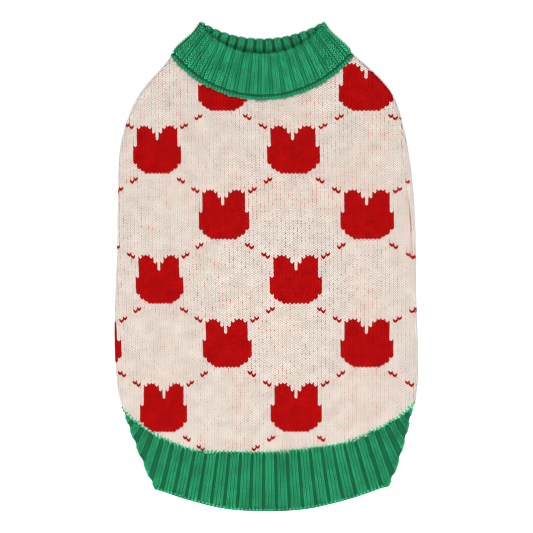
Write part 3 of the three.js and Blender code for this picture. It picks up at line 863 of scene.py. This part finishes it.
# %% Hem rib ground
HEM_FURROW = 1.5  # mm deep at the middle of the garment
HEM_TUCK = 1.0  # mm of green behind the last cream loops
TOOTH_PROUD = 0.55  # mm that the seam's green loops stand over the cream's ground
SPREAD_FURROW = 0.45  # mm deep where the rib is pulled flat, at the side folds
SEAM_DIP, BOUND_RISE = 0.9, 0.35  # mm, at the seam and at the bound edge
HEM_WALL = 0.35

_, edge_round, edge_height = hem_place(1, seam_rows)
line_length = np.hypot(edge_round - seam_round, edge_height - seam_height)
print("band height", line_length.min().round(1), "to", line_length.max().round(1), "mm")


def hem_k_at(along):
    return np.interp(np.mod(along, HEM_GIRTH), seam_along, seam_rows)


def hem_spot(along, down):
    """Side, distance round and y, for mm along the seam and mm down from it."""
    k = np.minimum(hem_k_at(along), HEM_ROWS - 1e-6)
    side, seam_d, seam_h = hem_place(0, k)
    _, edge_d, edge_h = hem_place(1, k)
    share = down / np.hypot(edge_d - seam_d, edge_h - seam_h)
    return side, mix(seam_d, edge_d, share), mix(seam_h, edge_h, share)


def hem_length(along):
    return np.interp(hem_k_at(along), seam_rows, line_length)


def spread_out(along):
    """0 in the middle of the back or belly and 1 at the side folds, where ribs are pulled flat."""
    side, distance, y = hem_spot(along, 5.0)
    off = np.abs(distance - flat_width(side, y) - FOLD_LENGTH / 2)
    return ease(1 - (off - 6) / 34)


def rib_bar(along, down):
    """From 0 in a furrow to 1 on a bar, at a place on the hem."""
    bar = mix(0.78, 0.56, spread_out(along))
    bar = ease((bar + 0.1 - off_bar(along)) / 0.2)
    left = hem_length(along) - down
    ends = ease((down - 0.2) / 1.4) * ease((left - 1.8) / 2.2)
    return 1 - (1 - bar) * ends


def hem_lift(along, down, high=0.0):
    depth = mix(HEM_FURROW, SPREAD_FURROW, spread_out(along))
    seam_dip = SEAM_DIP * ease((0.6 - down) / 1.2)
    bound = BOUND_RISE * np.exp(-(((hem_length(along) - down - 1.0) / 0.8) ** 2))
    return GROUND_LIFT + 0.1 - depth * (1 - rib_bar(along, down)) - seam_dip + bound + high


def hem_cloth(along, down, high=0.0):
    side, distance, y = hem_spot(along, down)
    return on_tube(side, distance, y, hem_lift(along, down, high))


def hem_grid(u, v):
    along = u * HEM_GIRTH
    return hem_cloth(along, mix(hem_length(along), -HEM_TUCK, v))


hem_ground = bent_grid("hem_rib_ground", RIBS * 12, 26, hem_grid, ring=True,
                       wall=HEM_WALL)
# the hem's ground is the green darkened as painted shade for the furrows and gaps
hem_ground.data.materials.append(green_painted_shade)

# %% [markdown]
# ## Stitches of the hem
#
# Three wales of small stitches stand on each bar. Their columns follow the bars, so at the side
# folds they fan out with them. The wide furrows at the sides show a line of purl loops as well,
# which are low and level instead of V shaped. Along the seam the last cream loops hang over the
# green, and a bound edge of slanting loops closes the free end.

# %% Hem stitches
HEM_WALES, HEM_COURSE = 3, 1.66
HEM_COURSES = int(line_length.max() / HEM_COURSE)


def hem_stitches():
    rib, wale, course = counted(RIBS, HEM_WALES, HEM_COURSES + 1)
    middle = (rib + 0.5) * HEM_GIRTH / RIBS + RIB_START
    bar = mix(0.8, 0.56, spread_out(middle)) * HEM_GIRTH / RIBS
    along = middle + (wale - 1) * bar / HEM_WALES
    down = 1.0 + course * HEM_COURSE
    keep = down < hem_length(along) - 1.6
    return along[keep], down[keep], (bar / HEM_WALES)[keep]


def purl_loops():
    rib, course = counted(RIBS, HEM_COURSES)
    along = rib * HEM_GIRTH / RIBS + RIB_START
    down = 2.6 + course * HEM_COURSE
    keep = down < hem_length(along) - 2.6
    return along[keep], down[keep], mix(1.5, 3.6, spread_out(along))[keep]


def upside(place):
    """The hem counts down from its seam, so its tiles are turned to point down as well."""
    return lambda a, b, h: place(a, -b, h)


along, down, wide = hem_stitches()
hem_knit = knit("hem_rib_stitches", green_yarn, upside(hem_cloth), along, -down, wide * 0.88,
                HEM_COURSE, tile=FINE_STITCH, seed=7)
along, down, wide = purl_loops()
# the purl loops are the green darkened as painted shade for the furrows
hem_purl = knit("hem_rib_purl_loops", furrow_painted_shade_yarn, upside(hem_cloth), along, -down, wide,
                HEM_COURSE, tile=leg_tile(0.6, 1.2, 0.3), seed=8)

# the bound edge: slanting loops side by side, and a green loop in the seam at each wale
count = round(HEM_GIRTH / 2.2)
along = (np.arange(count) + 0.5) * HEM_GIRTH / count
bound = knit("hem_rib_bound_edge", green_yarn, upside(hem_cloth), along,
             -(hem_length(along) - 0.95), 2.2, COURSE, tile=leg_tile(0.95, 0.9, 0.6), seed=9)
count = 3 * RIBS
along = (np.arange(count) + 0.5) * HEM_GIRTH / count + RIB_START


def over_seam(along, down, high):
    side, distance, y = hem_spot(along, down)
    return on_tube(side, distance, y, GROUND_LIFT + TOOTH_PROUD + high)


teeth = knit("hem_seam_green_loops", green_yarn, upside(over_seam), along,
             0.2 + 0.9 * (1 - off_bar(along) ** 2), 2.6, COURSE,
             tile=leg_tile(1.35, 0.9, 0.9), seed=10)
finish_piece(hem_ground, "green_rib", "hem_rib")
for piece in (hem_knit, hem_purl, bound, teeth):
    finish_piece(piece, "green_rib")

# %% [markdown]
# ## The neck rib
#
# The collar is knitted twice as tall as it shows and folded over, so its rim is a soft round
# fold and its inside is ribbed as well. Here it is one skin that goes up the outside, over the
# rim, and down the inside, both ends hidden in the linking seam. Round the neck it passes the
# near wall, a side fold, the far wall, and the other side fold.

# %% The collar's form
COLLAR_WALL, COLLAR_SLACK = 4.2, 0.8
COLLAR_TURN = (COLLAR_WALL + COLLAR_SLACK) / 2
MOUTH_RISE = 6.2
COLLAR_SWELL = 1.3
COLLAR_FOLD = math.pi * COLLAR_TURN
COLLAR_INSET = COLLAR_TURN + COLLAR_WALL / 2
NEAR_LENGTH = 2 * NEAR_RIM[1] * NEAR_RIM[2] - 2 * COLLAR_INSET
FAR_LENGTH = 2 * FAR_RIM[1] * FAR_RIM[2] - 2 * COLLAR_INSET
RIM_LENGTH = NEAR_LENGTH + FAR_LENGTH + 2 * COLLAR_FOLD
NECK_RIBS = round(RIM_LENGTH / 5.9)
NECK_START = NEAR_LENGTH / 2 - 1.3  # a furrow's place, mm along the rim
print("collar rim", round(RIM_LENGTH, 1), "mm in", NECK_RIBS, "ribs")


def arc_point(arc, along_of):
    centre, radius, half = arc
    angle = -half + along_of(2 * half * radius) / radius
    return NECK_X + radius * np.sin(angle), centre - radius * np.cos(angle)


def collar_station(s):
    """Mm along the rim as a share across from the left and an angle up from the fold's line."""
    stops = [0, *np.cumsum([NEAR_LENGTH, COLLAR_FOLD, FAR_LENGTH, COLLAR_FOLD])]
    s = np.mod(s, RIM_LENGTH)
    quarter = math.pi / 2
    across = np.interp(s, stops, [0, 1, 1, 0, 0])
    return across, np.interp(s, stops, [quarter, quarter, -quarter, -quarter, quarter])


def collar_point(s, height, lift):
    """A place on the collar: along the rim, 0 to 1 up the band, and out from its middle."""
    across, up = collar_station(s)
    reach = COLLAR_INSET - (COLLAR_TURN + lift) * np.cos(up)
    ends = []
    for base, rim in ((NEAR_BASE, NEAR_RIM), (FAR_BASE, FAR_RIM)):
        low = arc_point(base, lambda whole: mix(reach, whole - reach, across))
        high = arc_point(rim, lambda whole: mix(reach, whole - reach, across))
        ends.append([mix(low[i], high[i], height) for i in (0, 1)])
    near, far = ends
    share = ease((up + 0.6) / 1.2)
    mouth = np.sin(math.pi * across) ** 1.2 * np.maximum(height, 0) ** 1.2
    rise = np.where(up > 1.5, MOUTH_RISE * mouth, 0)
    z = COLLAR_WALL / 2 + COLLAR_TURN + (COLLAR_TURN + lift) * np.sin(up) + rise
    # the side outline swells above the seam and draws in before the rim
    swell = COLLAR_SWELL * np.cos(up) ** 2 * np.sin(2 * math.pi * np.clip(height, 0, 1) + 0.2)
    x = mix(far[0], near[0], share) + swell * np.where(across > 0.5, 1, -1)
    y = mix(far[1], near[1], share)
    return np.stack(np.broadcast_arrays(x, y, z), axis=-1) * MM


OUTER_HEIGHT = 27.0  # mm of cloth from the seam to the rim, and again down the inside
RIM_TURN = 5.0  # mm of cloth that goes over the rim
NECK_FURROW, NECK_DIP = 1.05, 0.75  # mm deep between the bars, and above the linked foot
NECK_COURSE = 1.7


def over_rim(b):
    """Mm of cloth from the outer seam as a height and a share of the wall's half thickness."""
    turn = np.clip((b - OUTER_HEIGHT) / RIM_TURN, 0, 1)
    angle = math.pi * turn
    inside_part = np.maximum(b - OUTER_HEIGHT - RIM_TURN, 0)
    height = (np.minimum(b, OUTER_HEIGHT) - inside_part) / OUTER_HEIGHT * 0.93
    height = height + 0.07 * np.sin(angle)
    return height, np.cos(angle)


def neck_bar(s, b):
    """From 0 in a furrow to 1 on a bar. The furrows are narrow and deep near the rim."""
    phase = np.abs(np.mod((s - NECK_START) / RIM_LENGTH * NECK_RIBS, 1) - 0.5) * 2
    height, _ = over_rim(b)
    bar = ease((mix(0.72, 0.86, ease(height * 1.2)) - phase) / 0.2)
    fades = mix(0.3, 1, ease(height * 1.3)) * ease(height / 0.14)
    fades = fades * mix(0.55, 1, ease((1 - height) / 0.12))
    return 1 - (1 - bar) * fades


def neck_cloth(s, b, high=0.0):
    height, facing = over_rim(b)
    half = COLLAR_WALL / 2 - 0.85 - NECK_FURROW * (1 - neck_bar(s, b)) + high
    seam_dip = NECK_DIP * np.exp(-(((b - 2.9) / 0.6) ** 2))
    lift = facing * (half - seam_dip)
    rim_out = (half - 1.6) * np.sqrt(np.maximum(0, 1 - facing**2)) * 0.03
    return collar_point(s, height + rim_out, lift)


def neck_grid(u, v):
    return neck_cloth(u * RIM_LENGTH, v * (2 * OUTER_HEIGHT + RIM_TURN))


neck_ground = bent_grid("neck_rib_ground", NECK_RIBS * 12, 64, neck_grid, ring=True)
neck_ground.data.materials.append(green_painted_shade)


def neck_stitches():
    courses = int((2 * OUTER_HEIGHT + RIM_TURN - 5) / NECK_COURSE)
    rib, wale, course = counted(NECK_RIBS, 2, courses)
    s = (rib + 0.5 + (wale - 0.5) * 0.34) * RIM_LENGTH / NECK_RIBS + NECK_START
    return s, 4.0 + course * NECK_COURSE, np.full(len(s), 0.33 * RIM_LENGTH / NECK_RIBS)


s, b, wide = neck_stitches()
neck_knit = knit("neck_rib_stitches", green_yarn, neck_cloth, s, b, wide, NECK_COURSE,
                 tile=FINE_STITCH, seed=12)
course, rib = counted(15, NECK_RIBS)
# these loops are the green darkened as painted shade, low in the collar's furrows
neck_purl = knit("neck_rib_purl_loops", link_painted_shade_yarn, neck_cloth,
                 rib * RIM_LENGTH / NECK_RIBS + NECK_START, 4.0 + course * NECK_COURSE, 1.8, COURSE,
                 tile=leg_tile(0.75, 1.1, 0.3), seed=15)
count = round(RIM_LENGTH / 1.5)
s = (np.arange(count) + 0.5) * RIM_LENGTH / count
neck_link = knit("neck_seam_green_loops", link_painted_shade_yarn, neck_cloth, s, np.full(count, 0.6), 1.5,
                 COURSE, tile=leg_tile(1.3, 1.2, 0.6), seed=13)
finish_piece(neck_ground, "green_rib", "neck_rib")
for piece in (neck_knit, neck_purl, neck_link):
    finish_piece(piece, "green_rib")

# %% [markdown]
# ## The leg bands
#
# Round each leg hole lies a flat ribbed band on the underside. Its bars run outwards like the
# petals of a flower, because the band is picked up round the hole and knitted towards the leg.
# Each band is the same bent grid once more, bent round an oval.

# %% Leg bands
LEG_RIBS = 34


def leg_place(hole):
    hx, hy, tilt = hole
    cos, sin = math.cos(tilt), math.sin(tilt)

    def place(u, b, high=0.0):
        """u from 0 to 1 round the hole, b mm in from the band's outer edge."""
        angle = -2 * math.pi * u
        out = LEG_BAND - b
        across = (LEG_ACROSS + out) * np.cos(angle)
        along = (LEG_ALONG + out) * np.sin(angle)
        phase = np.abs(np.mod(u * LEG_RIBS, 1) - 0.5) * 2
        bar = ease((0.72 - phase) / 0.26)
        ends = ease((b - 0.8) / 1.4) * ease((LEG_BAND - b - 0.8) / 1.2)
        lift = GROUND_LIFT - 1.1 * (1 - bar) * ends + high
        x = hx + across * cos - along * sin
        y = hy + across * sin + along * cos
        z = CLOTH_WALL / 2 - lift
        return np.stack(np.broadcast_arrays(x, y, z), axis=-1) * MM
    return place


for side_name, hole in zip(("left", "right"), LEG_HOLES):
    place = leg_place(hole)
    ground = bent_grid(f"leg_band_{side_name}_ground", LEG_RIBS * 10, 10,
                       lambda u, v: place(u, v * LEG_BAND), ring=True, wall=1.4)
    ground.data.materials.append(green_painted_shade)
    rib, wale, course = counted(LEG_RIBS, 2, 5)
    stitches = knit(f"leg_band_{side_name}_stitches", green_yarn, place,
                    (rib + 0.5 + (wale - 0.5) * 0.34) / LEG_RIBS, 1.1 + course * 1.7,
                    np.full(len(rib), 0.36 / LEG_RIBS), 1.7, seed=14)
    finish_piece(ground, "green_rib", f"leg_band_{side_name}")
    finish_piece(stitches, "green_rib")

# %% [markdown]
# ## The area of the cloth
#
# The panels and bands are knitted to shape. The flat area of each panel is summed column by
# column, and the leg holes are taken out of the belly's.

# %% Sheets
def panel_area(place_of):
    """The flat area of a panel in square metres, column by column."""
    us = np.linspace(0, 1, 241)
    low, high = settle_ends(place_of, seam_y, neck_y, us)
    total = 0
    for v in np.linspace(0.05, 0.95, 10):
        y = mix(low, high, v)
        side, distance = place_of(us, y)
        spot = np.where(us < 0.5, -1, 1) * (
            distance if place_of is back_place else half_girth(side, y) - distance)
        total += np.sum(np.diff(spot) * ((high - low)[1:] + (high - low)[:-1]) / 2) / 10
    return total * 1e-6


back_area, belly_area = panel_area(back_place), panel_area(belly_place)
holes_area = 2 * math.pi * (LEG_ACROSS + LEG_BAND) * (LEG_ALONG + LEG_BAND) * 1e-6
belly_area -= holes_area
print("panel areas, m2:", round(back_area, 4), round(belly_area, 4))

# %% [markdown]
# ## Floor, light and camera
#
# The garment lies on a white table under a large soft light, and the camera looks straight
# down. A broad light from above with a bright room around it keeps the shadows faint, and the
# small difference in brightness from one side is enough to show the stitches.

# %% Floor
bm = bmesh.new()
bmesh.ops.create_grid(bm, x_segments=1, y_segments=1, size=3)
bmesh.ops.translate(bm, verts=bm.verts, vec=(0, 0, -0.0004))
floor_mesh = bpy.data.meshes.new("table_top")
bm.to_mesh(floor_mesh)
bm.free()
floor = bpy.data.objects.new("table_top", floor_mesh)
bpy.context.scene.collection.objects.link(floor)
# white paper: matt, with only the faintest mottling
paper = yarn("white_paper", "#fbfbfc", "#ffffff", ply_mm=0.8, patch_mm=60, sheen=0.0, bump=0.02)
floor_mesh.materials.append(paper)

# %% Light and camera
ROOM_LIGHT = 0.62
SOFTBOX_PLACE, SOFTBOX_SIZE, SOFTBOX_WATTS = (-0.04, -0.28, 1.5), 0.75, 26
CAMERA_HEIGHT, VIEW_WIDTH = 3.0, 0.36244
FOCUS_HEIGHT = 0.005  # the view's width is measured at this height, the middle of the cloth

scene = bpy.context.scene
scene.world = bpy.data.worlds.new("bright_room")
scene.world.use_nodes = True
sky = scene.world.node_tree.nodes["Background"]
sky.inputs["Color"].default_value = (1, 1, 1, 1)
sky.inputs["Strength"].default_value = ROOM_LIGHT
scene.view_settings.view_transform = "Standard"
scene.cycles.filter_width = 1.0  # a sharper picture, as fine knit needs

softbox = bpy.data.lights.new("softbox", "AREA")
softbox.shape, softbox.size, softbox.energy = "DISK", SOFTBOX_SIZE, SOFTBOX_WATTS
lamp = bpy.data.objects.new("softbox", softbox)
lamp.location = SOFTBOX_PLACE
x, y, z = SOFTBOX_PLACE
lamp.rotation_euler = (math.atan2(math.hypot(x, y), z), 0, math.atan2(x, -y))
scene.collection.objects.link(lamp)

camera_data = bpy.data.cameras.new("overhead_camera")
camera_data.angle = 2 * math.atan(VIEW_WIDTH / 2 / (CAMERA_HEIGHT - FOCUS_HEIGHT))
camera = bpy.data.objects.new("overhead_camera", camera_data)
camera.location = (0, 0, CAMERA_HEIGHT)
scene.collection.objects.link(camera)
scene.camera = camera
print("camera angle:", round(math.degrees(camera_data.angle), 2))
